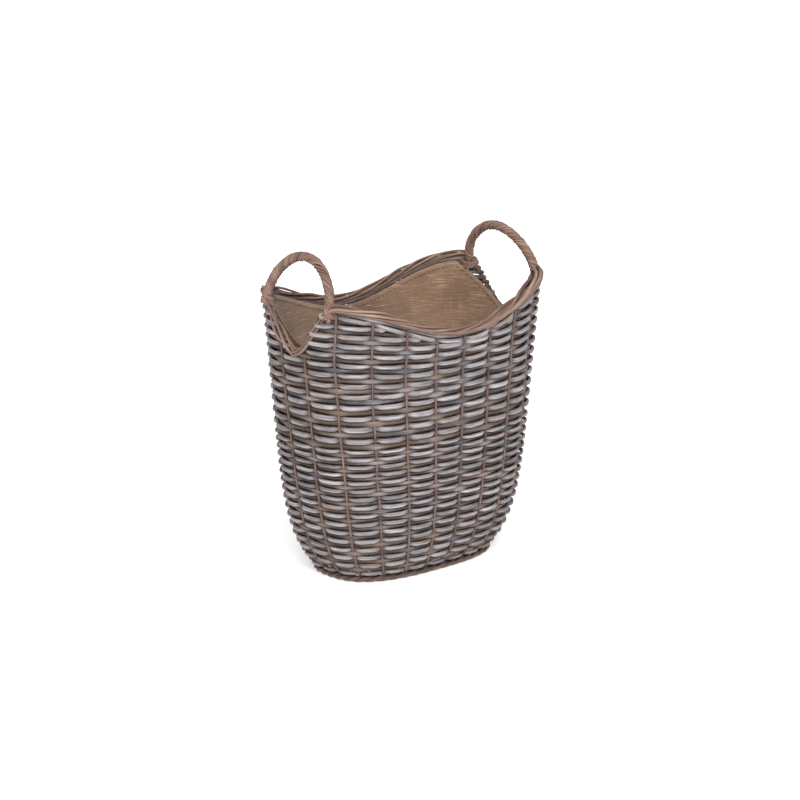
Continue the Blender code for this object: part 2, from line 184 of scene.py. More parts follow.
def near_left_end(place):
    """1 at the left end of the basket and 0 at the right one."""
    away = np.abs(np.mod(place, STAKE_COUNT) - STAKE_COUNT / 2)
    return np.clip((STAKE_COUNT / 4 - away) / 2.0 + 0.5, 0.0, 1.0)


def rim_height(place):
    """Height of the top of the border."""
    distance = from_end(place)
    share = np.clip(distance / FOOT_PLACE, 0.0, 1.0)
    left = near_left_end(place)
    rounding = RIGHT_NOTCH_ROUNDING + (LEFT_NOTCH_ROUNDING - RIGHT_NOTCH_ROUNDING) * left
    full = np.hypot(1.0, rounding)
    depth = END_NOTCH - LEFT_NOTCH_RISE * left
    notch = depth * (full - np.hypot(share, rounding)) / (full - rounding)
    share = np.clip((distance - FOOT_PLACE) / (STAKE_COUNT / 4 - FOOT_PLACE), 0.0, 1.0)
    sag = SIDE_SAG * 0.5 * (1.0 - np.cos(pi * share))
    return RIM_HEIGHT - notch - sag


def rim_slope(place):
    """Rise of the rim for each metre along it."""
    before, after = place - 0.25, place + 0.25
    rise = rim_height(after) - rim_height(before)
    run = wall(after, RIM_HEIGHT, 0.0) - wall(before, RIM_HEIGHT, 0.0)
    return rise / np.linalg.norm(run, axis=-1)


def below_rim(place, depth):
    """Height at a square depth below the top of the border."""
    return rim_height(place) - depth * np.hypot(1.0, rim_slope(place))


def border_thickness(place):
    """Thickness of the border: thinner in the notches, thicker along the sides."""
    share = np.clip((from_end(place) - FOOT_PLACE) / 0.4 + 0.5, 0.0, 1.0)
    return END_BORDER + (SIDE_BORDER - END_BORDER) * share


def wall_top(place):
    """Height of the underside of the border."""
    return below_rim(place, border_thickness(place))


# ---- rods ---------------------------------------------------------------------------------


def wobble(place, size, waves=(0.7, 1.6, 3.1)):
    """Slow random waver along a rod."""
    total = np.zeros_like(np.asarray(place, float))
    for wave in waves:
        total = total + np.sin(place * wave + rng.uniform(0, 2 * pi)) / len(waves)
    return total * size


class Rods:
    """Collects rods into one mesh, with grain coordinates, tone, wash and depth for each point; the wash
    carries a painted highlight on the outward side of each rod, and depth is the amount of painted shade.
    """

    def __init__(self):
        self.points = []
        self.faces = []
        self.coords = []
        self.tones = []
        self.washes = []
        self.painted_shade_amounts = []
        self.count = 0

    def add(self, path, out, half_out, half_up, wash=0.5, closed=False, sides=ROD_SIDES, tone=None,
            depth=0.0):
        """Adds one rod along a path; out is the side of each section that faces outward."""
        path = np.asarray(path, float)
        number = len(path)
        if closed:
            tangent = np.roll(path, -1, axis=0) - np.roll(path, 1, axis=0)
        else:
            tangent = np.gradient(path, axis=0)
        tangent = unit(tangent)
        out = np.broadcast_to(out, path.shape)
        out = unit(out - tangent * np.sum(out * tangent, axis=-1, keepdims=True))
        up = np.cross(out, tangent)
        half_out = np.broadcast_to(half_out, number)
        half_up = np.broadcast_to(half_up, number)
        turn = np.arange(sides) * 2 * pi / sides
        ring = (
            path[:, None]
            + out[:, None] * (half_out[:, None] * np.cos(turn))[..., None]
            + up[:, None] * (half_up[:, None] * np.sin(turn))[..., None]
        )
        along = np.concatenate([[0.0], np.cumsum(np.linalg.norm(np.diff(path, axis=0), axis=1))])
        if tone is None:
            tone = rng.uniform()
        coord = np.zeros((number, sides, 3))
        coord[..., 0] = along[:, None]
        coord[..., 1] = np.cos(turn) + rng.uniform(0.0, 90.0)
        coord[..., 2] = np.sin(turn)
        # Painted highlight: the wash is paler on the side of each rod that faces outward.
        facing = 0.75 + 0.25 * np.cos(turn)
        self.points.append(ring.reshape(-1, 3))
        self.coords.append(coord.reshape(-1, 3))
        self.tones.append(np.repeat(np.broadcast_to(tone, number), sides))
        self.washes.append((np.broadcast_to(wash, number)[:, None] * facing).ravel())
        # Painted shade on the upper and lower sides of each rod, where it meets its neighbours, added to
        # the depth it is given.
        edge = 0.55 * (1.0 - np.abs(np.cos(turn)))
        self.painted_shade_amounts.append(np.clip(np.broadcast_to(depth, number)[:, None] + edge, 0.0, 1.0).ravel())
        rows = number if closed else number - 1
        first = np.arange(rows)[:, None] * sides
        second = ((np.arange(rows)[:, None] + 1) % number) * sides
        index = np.arange(sides)
        following = (index + 1) % sides
        quads = np.stack([first + index, second + index, second + following, first + following], -1)
        self.faces += (quads.reshape(-1, 4) + self.count).tolist()
        if not closed:
            self.faces.append([self.count + i for i in range(sides)])
            last = self.count + (number - 1) * sides
            self.faces.append([last + i for i in reversed(range(sides))])
        self.count += number * sides

    def build(self, name, material):
        """Makes the mesh object."""
        mesh = bpy.data.meshes.new(name)
        mesh.from_pydata(np.concatenate(self.points).tolist(), [], self.faces)
        coord = mesh.attributes.new("rod_coord", "FLOAT_VECTOR", "POINT")
        coord.data.foreach_set("vector", np.concatenate(self.coords).ravel())
        for layer, values in (("tone", self.tones), ("wash", self.washes), ("depth", self.painted_shade_amounts)):
            attribute = mesh.attributes.new(layer, "FLOAT", "POINT")
            attribute.data.foreach_set("value", np.concatenate(values))
        mesh.shade_smooth()
        mesh.materials.append(material)
        piece = bpy.data.objects.new(name, mesh)
        bpy.context.scene.collection.objects.link(piece)
        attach(piece, "root")
        return piece


def tapered(number, size, ends=3, tip=0.35):
    """Half-thicknesses along an open rod, rounded off at both ends."""
    profile = np.ones(number)
    for step in range(min(ends, number // 2)):
        share = tip + (1.0 - tip) * (step / ends) ** 0.6
        profile[step] = share
        profile[number - 1 - step] = share
    return profile * size


# ---- materials ----------------------------------------------------------------------------


def new_material(name, roughness):
    """Material with its node tree, shader and a helper that adds nodes."""
    material = bpy.data.materials.new(name)
    material.use_nodes = True
    tree = material.node_tree
    shader = tree.nodes["Principled BSDF"]
    shader.inputs["Roughness"].default_value = roughness
    return material, tree, shader


def node(tree, kind, **settings):
    made = tree.nodes.new(kind)
    for name, value in settings.items():
        if name in ("operation", "attribute_name"):
            setattr(made, name, value)
        else:
            made.inputs[name].default_value = value
    return made


def ramp(tree, factor, stops):
    """Colour ramp from (position, colour) stops."""
    made = tree.nodes.new("ShaderNodeValToRGB")
    elements = made.color_ramp.elements
    while len(elements) < len(stops):
        elements.new(0.5)
    for element, (position, colour) in zip(elements, stops):
        element.position = position
        element.color = (*colour, 1.0)
    tree.links.new(factor, made.inputs["Fac"])
    return made.outputs["Color"]


def maths(tree, operation, first, second=None, clamp=False):
    """Result of a sum on sockets or numbers."""
    made = node(tree, "ShaderNodeMath", operation=operation)
    made.use_clamp = clamp
    for socket, value in zip(made.inputs, (first, second)):
        if value is None:
            continue
        if isinstance(value, (int, float)):
            socket.default_value = value
        else:
            tree.links.new(value, socket)
    return made.outputs[0]


def mix(tree, factor, first, second, blend="MIX"):
    """Mix of two colours."""
    made = tree.nodes.new("ShaderNodeMix")
    made.data_type = "RGBA"
    made.blend_type = blend
    for socket, value in ((made.inputs[0], factor), (made.inputs[6], first), (made.inputs[7], second)):
        if isinstance(value, (int, float)):
            socket.default_value = value
        elif isinstance(value, tuple):
            socket.default_value = (*value, 1.0)
        else:
            tree.links.new(value, socket)
    return made.outputs[2]


def noise(tree, vector, scale, detail=3.0, roughness=0.55):
    made = node(tree, "ShaderNodeTexNoise", Scale=scale, Detail=detail, Roughness=roughness)
    tree.links.new(vector, made.inputs["Vector"])
    return made.outputs["Fac"]


def stretched(tree, vector, scale):
    """Coordinates scaled differently along each axis."""
    made = node(tree, "ShaderNodeVectorMath", operation="MULTIPLY")
    made.inputs[1].default_value = scale
    tree.links.new(vector, made.inputs[0])
    return made.outputs[0]


def willow(name, bark_stops, wash_colours, wash_amount, roughness=0.62):
    """Rod of willow: bark colour that changes from rod to rod, grain along it, a pale wash, and shade
    painted in from the depth attribute.
    """
    material, tree, shader = new_material(name, roughness)
    links = tree.links
    coord = node(tree, "ShaderNodeAttribute", attribute_name="rod_coord").outputs["Vector"]
    wash = node(tree, "ShaderNodeAttribute", attribute_name="wash").outputs["Fac"]
    tone = node(tree, "ShaderNodeAttribute", attribute_name="tone").outputs["Fac"]
    depth = node(tree, "ShaderNodeAttribute", attribute_name="depth").outputs["Fac"]
    grain = noise(tree, stretched(tree, coord, (95.0, 4.5, 4.5)), 1.0, 4.0, 0.65)
    streak = noise(tree, stretched(tree, coord, (16.0, 1.6, 1.6)), 1.0, 3.0, 0.6)
    patch = noise(tree, stretched(tree, coord, (34.0, 0.7, 0.7)), 1.0, 2.0, 0.5)
    shade = maths(tree, "ADD", maths(tree, "MULTIPLY", tone, 0.5), maths(tree, "MULTIPLY", streak, 0.60))
    bark = ramp(tree, shade, bark_stops)
    dark = mix(tree, maths(tree, "MULTIPLY", grain, 0.6), bark, (0.40, 0.38, 0.37), "MULTIPLY")
    wash_change = maths(tree, "ADD", maths(tree, "MULTIPLY", patch, 1.3), -0.65)
    scratched = maths(tree, "ADD", maths(tree, "MULTIPLY", grain, 1.6), -0.80)
    coating = maths(tree, "ADD", maths(tree, "ADD", wash, wash_change), scratched)
    amount = maths(tree, "MULTIPLY", coating, wash_amount, clamp=True)
    pale = ramp(tree, streak, wash_colours)
    coated = mix(tree, amount, dark, pale)
    # Painted shade: the colour is darkened by the depth attribute, which is high in recesses of the wall,
    # on the upper and lower sides of each rod, and at the ends and bottom of the weave.
    painted_shade = maths(tree, "MULTIPLY", depth, 0.85)
    links.new(mix(tree, painted_shade, coated, (0.30, 0.25, 0.24), "MULTIPLY"), shader.inputs["Base Color"])
    rough = maths(tree, "ADD", maths(tree, "MULTIPLY", grain, 0.25), roughness - 0.12)
    links.new(rough, shader.inputs["Roughness"])
    bump = node(tree, "ShaderNodeBump", Strength=0.5, Distance=0.0006)
    links.new(maths(tree, "ADD", grain, maths(tree, "MULTIPLY", patch, 0.6)), bump.inputs["Height"])
    links.new(bump.outputs["Normal"], shader.inputs["Normal"])
    return material


GREY_BARK = [
    (0.12, (0.056, 0.027, 0.018)),
    (0.30, (0.100, 0.066, 0.052)),
    (0.46, (0.082, 0.080, 0.090)),
    (0.62, (0.175, 0.122, 0.080)),
    (0.85, (0.215, 0.150, 0.128)),
]
BROWN_BARK = [(0.15, (0.062, 0.030, 0.020)), (0.50, (0.165, 0.088, 0.060)), (0.90, (0.300, 0.180, 0.130))]
RED_BARK = [(0.15, (0.050, 0.024, 0.018)), (0.50, (0.120, 0.068, 0.053)), (0.90, (0.200, 0.125, 0.102))]
WASH = [(0.32, (0.165, 0.138, 0.134)), (0.50, (0.320, 0.298, 0.318)), (0.70, (0.560, 0.528, 0.530))]
WARM_WASH = [(0.3, (0.220, 0.130, 0.098)), (0.5, (0.370, 0.240, 0.190)), (0.7, (0.620, 0.440, 0.370))]


def build_materials():
    """Materials of the rods."""
    return {
        "weave": willow("washed_willow_weave", GREY_BARK, WASH, 1.0),
        "stake": willow("brown_willow_stake", RED_BARK, WARM_WASH, 0.8),
        "border": willow("brown_willow_border", BROWN_BARK, WARM_WASH, 0.7),
        "handle": willow("dark_willow_handle", BROWN_BARK, WARM_WASH, 0.6),
        "foot": willow("red_willow_foot", RED_BARK, WARM_WASH, 0.5),
        "base": willow("plain_willow_base", BROWN_BARK, WARM_WASH, 0.6),
    }


def hessian(name):
    """Coarse tan cloth: uneven crossing threads, paler thick ones, and painted shade on the outer face,
    which lies behind the wicker.
    """
    material, tree, shader = new_material(name, 0.92)
    links = tree.links
    coord = node(tree, "ShaderNodeAttribute", attribute_name="cloth_coord").outputs["Vector"]
    warp_waver = noise(tree, stretched(tree, coord, (90.0, 14.0, 1.0)), 1.0, 2.0)
    threads = []
    for axis, pitch in (("X", 0.0021), ("Y", 0.0019)):
        parts = tree.nodes.new("ShaderNodeSeparateXYZ")
        links.new(coord, parts.inputs[0])
        wavy = maths(tree, "ADD", parts.outputs[axis], maths(tree, "MULTIPLY", warp_waver, 0.0022))
        wave = maths(tree, "SINE", maths(tree, "MULTIPLY", wavy, 2 * pi / pitch))
        threads.append(maths(tree, "ADD", maths(tree, "MULTIPLY", wave, 0.5), 0.5))
    weave = maths(tree, "MAXIMUM", threads[0], threads[1])
    slub_along = noise(tree, stretched(tree, coord, (28.0, 620.0, 1.0)), 1.0, 2.0)
    slub_up = noise(tree, stretched(tree, coord, (560.0, 24.0, 1.0)), 1.0, 2.0)
    mottle = noise(tree, coord, 9.0, 4.0)
    base = ramp(
        tree,
        mottle,
        [(0.3, (0.190, 0.108, 0.062)), (0.5, (0.270, 0.160, 0.096)), (0.7, (0.330, 0.205, 0.128))],
    )
    base = mix(tree, maths(tree, "MULTIPLY", maths(tree, "SUBTRACT", 1.0, weave), 0.75), base,
               (0.30, 0.26, 0.24), "MULTIPLY")
    pale = ramp(tree, slub_along, [(0.55, (0.0, 0.0, 0.0)), (0.74, (1.0, 1.0, 1.0))])
    pale_up = ramp(tree, slub_up, [(0.58, (0.0, 0.0, 0.0)), (0.78, (0.6, 0.6, 0.6))])
    base = mix(tree, pale, base, (0.500, 0.360, 0.255))
    base = mix(tree, pale_up, base, (0.400, 0.270, 0.180))
    # Painted shade: the face that looks outward, towards the wicker, is darkened.
    side = node(tree, "ShaderNodeAttribute", attribute_name="cloth_out").outputs["Vector"]
    facing = node(tree, "ShaderNodeVectorMath", operation="DOT_PRODUCT")
    links.new(side, facing.inputs[0])
    links.new(tree.nodes.new("ShaderNodeNewGeometry").outputs["Normal"], facing.inputs[1])
    outer = maths(tree, "MULTIPLY", facing.outputs["Value"], 2.0, clamp=True)
    base = mix(tree, outer, base, (0.30, 0.25, 0.23), "MULTIPLY")
    links.new(base, shader.inputs["Base Color"])
    shader.inputs["Sheen Weight"].default_value = 0.25
    bump = node(tree, "ShaderNodeBump", Strength=0.7, Distance=0.0007)
    links.new(maths(tree, "ADD", weave, slub_along), bump.inputs["Height"])
    links.new(bump.outputs["Normal"], shader.inputs["Normal"])
    return material


# ---- weave --------------------------------------------------------------------------------

SET_CHANGE = 0.247  # height where the second set of weavers starts
LOWER_PITCHES = (0.0086, 0.0066)  # spacing of the rows at the bottom and at the top of a set
UPPER_PITCHES = (0.0102, 0.0073)
PALE_FILL = (0.44, 0.49)  # half the height of a rod, in row spacings
DARK_FILL = (0.50, 0.56)
FOLLOWING_ROWS = 2  # rows just under the side borders, which follow them
FOLLOWING_PITCH = 0.0074
FOLLOWING_LIFT = 0.0025
NOTCH_MARGIN = 0.006  # room for the border of a notch above the ends of the rows
DIP = 0.45  # share of the rim's sag that the highest rows take on
DIP_START = 0.33
SHORTEST_ROW = 0.35  # stakes
TURN_REACH = 0.11  # stakes that a turned end goes past its last place


def swing(place, row):
    """Distance of a weaver from the middle of the wall.

    The pale rods spring out between the stakes and go in behind them. The darker rods between
    them lie further in, and pass over one stake and behind the next.
    """
    if row % 2 == 0:
        square = np.tanh(2.4 * (np.cos(2 * pi * place) + 0.5)) / np.tanh(2.4)
        return SWING * (0.76 * square + 0.06)
    over = np.sin(pi * place + pi * (row // 2 % 2))
    return SWING * (-0.40 + 0.46 * over * np.abs(over))


def painted_shade_by_place(place, height):
    """How much shade is painted onto the rods: most at the right end, less at the left end and low down.
    """
    place = np.mod(place, STAKE_COUNT)
    right = np.clip((place - 17.2) / 2.2, 0.0, 1.0)
    left = np.clip((12.9 - place) / 1.0, 0.0, 1.0)
    low = np.clip((0.14 - height) / 0.12, 0.0, 1.0)
    return np.clip(right + 0.55 * left + 0.35 * low, 0.0, 1.0)


def row_wash(place, height, offset, row):
    """Pale wash of a weaver: strong on every other row, with a painted highlight where the rod stands out
    and thinned where shade is painted.
    """
    base = 0.66 if row % 2 == 0 else 0.16
    # Painted highlight: more wash where the rod stands out of the wall.
    exposed = offset / SWING
    # Painted shade: less wash at the right end, the left end and low down.
    wash_change = 0.24 * painted_shade_by_place(place, height)
    return base + 0.14 * exposed - wash_change + rng.normal(0.0, 0.10) + wobble(place, 0.18)


def rod_tones(place):
    """Tone along a row: a new rod takes over every few stakes."""
    length = 5.0
    start = rng.uniform(0.0, length)
    tones = rng.uniform(0.0, 1.0, 8)
    return tones[((place - start) // length).astype(int) % 8]


def painted_shade_amounts(place, height, offset):
    """Painted shade of the points of a weaver: 0 in front, 1 at the back of the wall, and more at the
    right end, the left end and low down.
    """
    return np.clip(0.15 - 0.9 * offset / SWING + 0.38 * painted_shade_by_place(place, height), 0.0, 1.0)


class Unevenness:
    """Small lifts of a row at each stake, alike from one row to the next."""

    def __init__(self):
        self.lifts = np.zeros(STAKE_COUNT)

    def next_row(self):
        """Changes the lifts a little for the next row."""
        self.lifts = 0.86 * self.lifts + rng.normal(0.0, 0.00042, STAKE_COUNT)

    def at(self, place):
        stakes = np.arange(STAKE_COUNT + 2) - 0.5
        lifts = np.concatenate([[self.lifts[-1]], self.lifts, [self.lifts[0]]])
        return np.interp(np.mod(place, STAKE_COUNT), stakes, lifts)


def row_heights(bottom, top, first_pitch, last_pitch):
    """Heights of rows whose spacing changes evenly from the bottom to the top."""
    count = int(round((top - bottom) / ((first_pitch + last_pitch) / 2)))
    shares = (np.arange(count) + 0.5) / count
    ratio = last_pitch / first_pitch
    grown = (shares + (ratio - 1.0) * shares**2 / 2) / ((1.0 + ratio) / 2)
    pitches = (top - bottom) / count * (1.0 + (ratio - 1.0) * shares) / ((1.0 + ratio) / 2)
    return list(zip(bottom + (top - bottom) * grown, pitches))


def add_ring(rods, level, pitch, row, uneven):
    """One closed row of weave."""
    place = np.arange(STAKE_COUNT * SAMPLES_PER_STAKE) / SAMPLES_PER_STAKE
    uneven.next_row()
    offset = swing(place, row)
    heights = level(place) + uneven.at(place)
    path = wall(place, heights, MIDDLE - offset)
    fill = rng.uniform(*(PALE_FILL if row % 2 == 0 else DARK_FILL))
    half_up = pitch * fill * (1.0 + wobble(place * 2 * pi / STAKE_COUNT, 0.10, (3, 7, 13)))
    wash = row_wash(place, heights, offset, row)
    tone = rod_tones(place)
    rods.add(path, wall_normal(place, heights), WEAVER_HALF, half_up, wash, True, tone=tone,
             depth=painted_shade_amounts(place, heights, offset))


def add_turned_pair(rods, lower, upper, row, pitch):
    """Two short rows that are one rod: it turns back round the stake at each end.

    lower and upper are (low place, high place, function of place to height).
    """
    parts = []
    for low, high, level in (lower, upper):
        place = np.linspace(low, high, max(6, int((high - low) * SAMPLES_PER_STAKE)))
        parts.append((place, level(place)))
    offsets = [swing(parts[0][0], row), swing(parts[1][0], row + 1)]
    steps = np.linspace(0.0, 1.0, 7)[1:-1]
    bend = np.sin(pi * steps)

    def turn(first, last, reach):
        place = first[0] + (last[0] - first[0]) * steps + reach * bend
        height = first[1] + (last[1] - first[1]) * steps
        middle = (first[2] + last[2]) / 2
        offset = middle + (first[2] - middle) * np.cos(pi * steps)
        return place, height, offset

    def end(part, index):
        return parts[part][0][index], parts[part][1][index], offsets[part][index]

    right = turn(end(0, -1), end(1, -1), TURN_REACH)
    left = turn(end(1, 0), end(0, 0), -TURN_REACH)
    place = np.concatenate([parts[0][0], right[0], parts[1][0][::-1], left[0]])
    height = np.concatenate([parts[0][1], right[1], parts[1][1][::-1], left[1]])
    offset = np.concatenate([offsets[0], right[2], offsets[1][::-1], left[2]])
    path = wall(place, height, MIDDLE - offset)
    wash = row_wash(place, height, offset, row) + 0.06
    half_up = pitch * rng.uniform(0.48, 0.53)
    rods.add(path, wall_normal(place, height), WEAVER_HALF, half_up, wash, True,
             depth=painted_shade_amounts(place, height, offset))


def add_hooked_row(rods, low, high, level, row, pitch):
    """A short row whose ends turn round the last stake and go in behind it."""
    place = np.linspace(low, high, max(6, int((high - low) * SAMPLES_PER_STAKE)))
    offset = swing(place, row)
    steps = np.linspace(0.0, 1.0, 6)[1:]

    def hook(at, reach):
        start = offset[at]
        places = place[at] + reach * np.sin(pi * steps * 0.8)
        back = -SWING if start > 0.0 else start
        return places, start + (back - start) * (1.0 - np.cos(pi * steps)) / 2, pitch * 0.4 * steps

    right_place, right_offset, right_rise = hook(-1, TURN_REACH)
    left_place, left_offset, left_rise = hook(0, -TURN_REACH)
    places = np.concatenate([left_place[::-1], place, right_place])
    offsets = np.concatenate([left_offset[::-1], offset, right_offset])
    heights = level(place)
    heights = np.concatenate([heights[0] + left_rise[::-1], heights, heights[-1] + right_rise])
    number = len(places)
    size = tapered(number, 1.0, 2, 0.6)
    path = wall(places, heights, MIDDLE - offsets)
    wash = row_wash(places, heights, offsets, row) + 0.04
    half_up = pitch * rng.uniform(0.48, 0.55) * size
    rods.add(path, wall_normal(places, heights), WEAVER_HALF * size, half_up, wash,
             depth=painted_shade_amounts(places, heights, offsets))


def fitting_runs(level, ceiling, half):
    """Stretches of places where a row fits under the ceiling; None when it fits all round."""
    place = np.linspace(0.0, STAKE_COUNT, 2201)
    fits = level(place) + half < ceiling(place)
    if fits.all():
        return None
    edges = np.nonzero(np.diff(fits.astype(int)))[0]
    stretches = []
    for index in edges:
        after = edges[edges > index]
        if fits[index + 1] and len(after):
            stretches.append((place[index + 1], place[after[0]]))
    return stretches


def side_top(place):
    """Top of the wall under the side borders, carried level over the notches."""
    return wall_top(np.where(from_end(place) < FOOT_PLACE, FEET["right_back"], place))


def following_level(step):
    """Height of the rows just under the border, which follow it, counted from the border down."""

    def level(place):
        return side_top(place) - (step + 0.5) * FOLLOWING_PITCH + FOLLOWING_LIFT

    return level


def leaning_level(height):
    """Height of an upper row: it dips towards the low middle of each side, as the rim does."""
    high = float(side_top(np.array(0.0)))
    tilt = DIP * np.clip((height - DIP_START) / (high - DIP_START), 0.0, 1.0)

    def level(place):
        return height - tilt * (high - side_top(place))

    return level


def on_back_of_left_notch(place):
    """1 on the slope of the left notch that goes up to the back, which has a broad border."""
    away = np.mod(place, STAKE_COUNT) - STAKE_COUNT / 2 - LEFT_NOTCH_MIDDLE
    return np.clip(0.5 - away / 0.3, 0.0, 1.0) * near_left_end(place)


def notch_ceiling(place):
    """Highest place for a rod in the notches; there is no limit outside them."""
    margin = NOTCH_MARGIN + 0.008 * on_back_of_left_notch(place)
    return np.where(from_end(place) < FOOT_PLACE, rim_height(place) - margin, 1.0)


def packing_ceiling(place):
    """Highest place for the packing rows: under the rows that follow the border."""
    lowest = following_level(FOLLOWING_ROWS - 1)(place) - FOLLOWING_PITCH * 0.2
    return np.minimum(lowest, notch_ceiling(place))


def build_weave(materials):
    """Closed rows up to the lowest point of the rim, packing rows, and rows that follow the rim."""
    weave = materials["weave"]
    uneven = Unevenness()
    start = FOOT_TOP + 0.003
    lower = row_heights(start, SET_CHANGE, *LOWER_PITCHES)
    upper = row_heights(SET_CHANGE, RIM_TOP - 0.012, *UPPER_PITCHES)
    row = 0
    rods = Rods()
    for height, pitch in lower:
        add_ring(rods, lambda place, z=height: np.full_like(place, z), pitch, row, uneven)
        row += 1
    piece = rods.build("weave_lower", weave)
    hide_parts("upsett_wale", "lower_weave")

    rings = Rods()
    short = Rods()
    for height, pitch in upper:
        level = leaning_level(height)
        runs = fitting_runs(level, packing_ceiling, pitch / 2)
        if runs is None:
            add_ring(rings, level, pitch, row, uneven)
        else:
            for low, high in runs:
                if high - low > SHORTEST_ROW:
                    add_hooked_row(short, low, high, level, row, pitch)
        row += 1
    piece = rings.build("weave_upper", weave)
    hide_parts("upper_weave")

    for side in (0, 1):
        middle = (side + 0.5) * STAKE_COUNT / 2
        pair = []
        for step in (1, 0):
            level = following_level(step)
            place = np.linspace(middle - STAKE_COUNT / 4, middle + STAKE_COUNT / 4, 1101)
            fits = place[level(place) + FOLLOWING_PITCH / 2 < notch_ceiling(place)]
            pair.append((fits[0], fits[-1], level))
        add_turned_pair(short, pair[0], pair[1], row, FOLLOWING_PITCH)
    piece = short.build("weave_top", weave)


def build_stakes(materials):
    """Upright stakes in the middle of the wall."""
    for index in range(STAKE_COUNT):
        place = index + 0.5
        top = float(wall_top(place)) - 0.002
        height = np.linspace(FOOT_TOP - 0.004, top, 28)
        across = place + wobble(height * 30, 0.02)
        rods = Rods()
        path = wall(across, height, MIDDLE)
        half = np.full(28, STAKE_HALF) * (1.0 + wobble(height * 40, 0.06))
        wash = 0.28 + wobble(height * 60, 0.35)
        # The depth given paints shade over the whole stake, which stands back in the middle of the wall.
        rods.add(path, wall_normal(across, height), half, half * 0.85, wash, depth=0.34)
        name = f"side_stake_{index + 1:02d}"
        piece = rods.build(name.replace("side_stake", "stake_rod"), materials["stake"])
        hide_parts(name)


# ---- handles ------------------------------------------------------------------------------

HANDLE_ROUNDNESS_LEFT = 1.92  # exponent of the arch: 2 is an ellipse, less is more pointed
HANDLE_ROUNDNESS_RIGHT = 1.78
LEFT_HANDLE_RISE = 0.003
HANDLE_TOP_REACH = 0.212  # from the middle of the basket
GRIP = 0.0084  # radius of a handle
HANDLE_STRANDS = 8
HANDLE_ROD = 0.0024
HANDLE_CORE = 0.0042
HANDLE_TURNS = 5.6
TIE_ROD = 0.0027
TIE_DROP = 0.012


def handle_feet(end_sign):
    """Places of the back and the front foot of a handle."""
    side = "left" if end_sign < 0 else "right"
    return FEET[side + "_back"], FEET[side + "_front"]


def handle_point(end_sign, turn):
    """Middle line of a handle; turn goes from 0 at the back foot to pi at the front foot."""
    back, front = (wall(place, float(wall_top(place)), MIDDLE) for place in handle_feet(end_sign))
    roundness = 2.0 / (HANDLE_ROUNDNESS_LEFT if end_sign < 0 else HANDLE_ROUNDNESS_RIGHT)
    climb = np.sin(turn) ** roundness
    spread = np.sign(np.cos(turn)) * np.abs(np.cos(turn)) ** roundness
    share = (1.0 - spread) / 2
    foot = back[:, None] * (1.0 - share) + front[:, None] * share
    x = foot[0] + (end_sign * HANDLE_TOP_REACH - foot[0]) * climb
    top = HANDLE_TOP - GRIP - 0.002
    if end_sign < 0:
        top += LEFT_HANDLE_RISE
    z = foot[2] + (top - foot[2]) * climb
    return np.stack([x, foot[1], z], axis=-1)


def handle_path(end_sign, number):
    """Middle line of a handle, with short ends that go down into the wall."""
    arch = handle_point(end_sign, np.linspace(0.0, pi, number))
    legs = []
    for place, top in zip(handle_feet(end_sign), (arch[0], arch[-1])):
        legs.append(np.array([wall(place, top[2] - drop, MIDDLE) for drop in (0.018, 0.012, 0.006)]))
    return np.concatenate([legs[0], arch, legs[1][::-1]])


def frame_along(path, toward):
    """Two directions square to a path, the first one close to toward."""
    tangent = unit(np.gradient(path, axis=0))
    toward = np.broadcast_to(toward, path.shape)
    out = unit(toward - tangent * np.sum(toward * tangent, axis=-1, keepdims=True))
    return out, np.cross(out, tangent)


def wind(rods, path, toward, lay, angle, half, wash):
    """A rod wound around a path at distance lay, at the angles given."""
    out, up = frame_along(path, toward)
    route = path + out * (lay * np.cos(angle))[:, None] + up * (lay * np.sin(angle))[:, None]
    rods.add(route, unit(route - path), half, half, wash)


def build_handle(side, end_sign, materials):
    """Twisted rods around a bent rod."""
    path = handle_path(end_sign, 110)
    number = len(path)
    share = np.linspace(0.0, 1.0, number)
    toward = np.array([end_sign, 0.0, 0.0])
    narrow = 1.0 - 0.45 * (np.abs(2 * share - 1.0) > 0.97)
    rods = Rods()
    rods.add(path, toward, HANDLE_CORE * narrow, HANDLE_CORE * narrow, 0.3)
    turns = HANDLE_TURNS * share + 0.3 * np.sin(2 * pi * share + end_sign)
    for strand in range(HANDLE_STRANDS):
        angle = 2 * pi * (strand / HANDLE_STRANDS + turns) + wobble(share * 20, 0.22)
        lay = (GRIP - HANDLE_ROD) * narrow * (1.0 + wobble(share * 25, 0.06))
        half = tapered(number, HANDLE_ROD * rng.uniform(0.80, 1.15), 3)
        wind(rods, path, toward, lay, angle, half, rng.uniform(0.2, 0.7) + wobble(share * 15, 0.3))
    piece = rods.build(f"handle_{side}", materials["handle"])
    names = [f"handle_strand_{side}_{index}" for index in (1, 2, 3)]
    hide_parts(f"handle_bow_{side}", *names)


def build_handle_ties(materials):
    """Rods wrapped round the feet of the handles where they enter the border."""
    for side, end_sign in (("left", -1.0), ("right", 1.0)):
        rods = Rods()
        back = 0.0125 if side == "right" else 0.0098
        for turned, coils, size in ((0.0, 3.4, back), (pi, 1.6, 0.0088)):
            ends = np.array([0.0, 0.20]) if turned == 0.0 else np.array([pi - 0.16, pi - 0.02])
            path = handle_point(end_sign, np.linspace(*ends, 46))
            path[:, 2] -= TIE_DROP
            angle = 2 * pi * coils * np.linspace(0.0, 1.0, 46) + 1.0
            toward = np.array([end_sign, 0.0, 0.0])
            half = tapered(46, TIE_ROD, 4)
            wind(rods, path, toward, np.full(46, size), angle, half, 0.5)
            wind(rods, path, toward, np.full(46, size), angle + 2.2, half * 0.9, 0.35)
        piece = rods.build(f"handle_ties_{side}", materials["handle"])


# ---- borders ------------------------------------------------------------------------------


NOTCH_ROD = 0.0023


def rim_line(low, high, number):
    """Middle line of the border between two places."""
    place = np.linspace(low, high, number)
    return wall(place, below_rim(place, SIDE_BORDER / 2), MIDDLE)


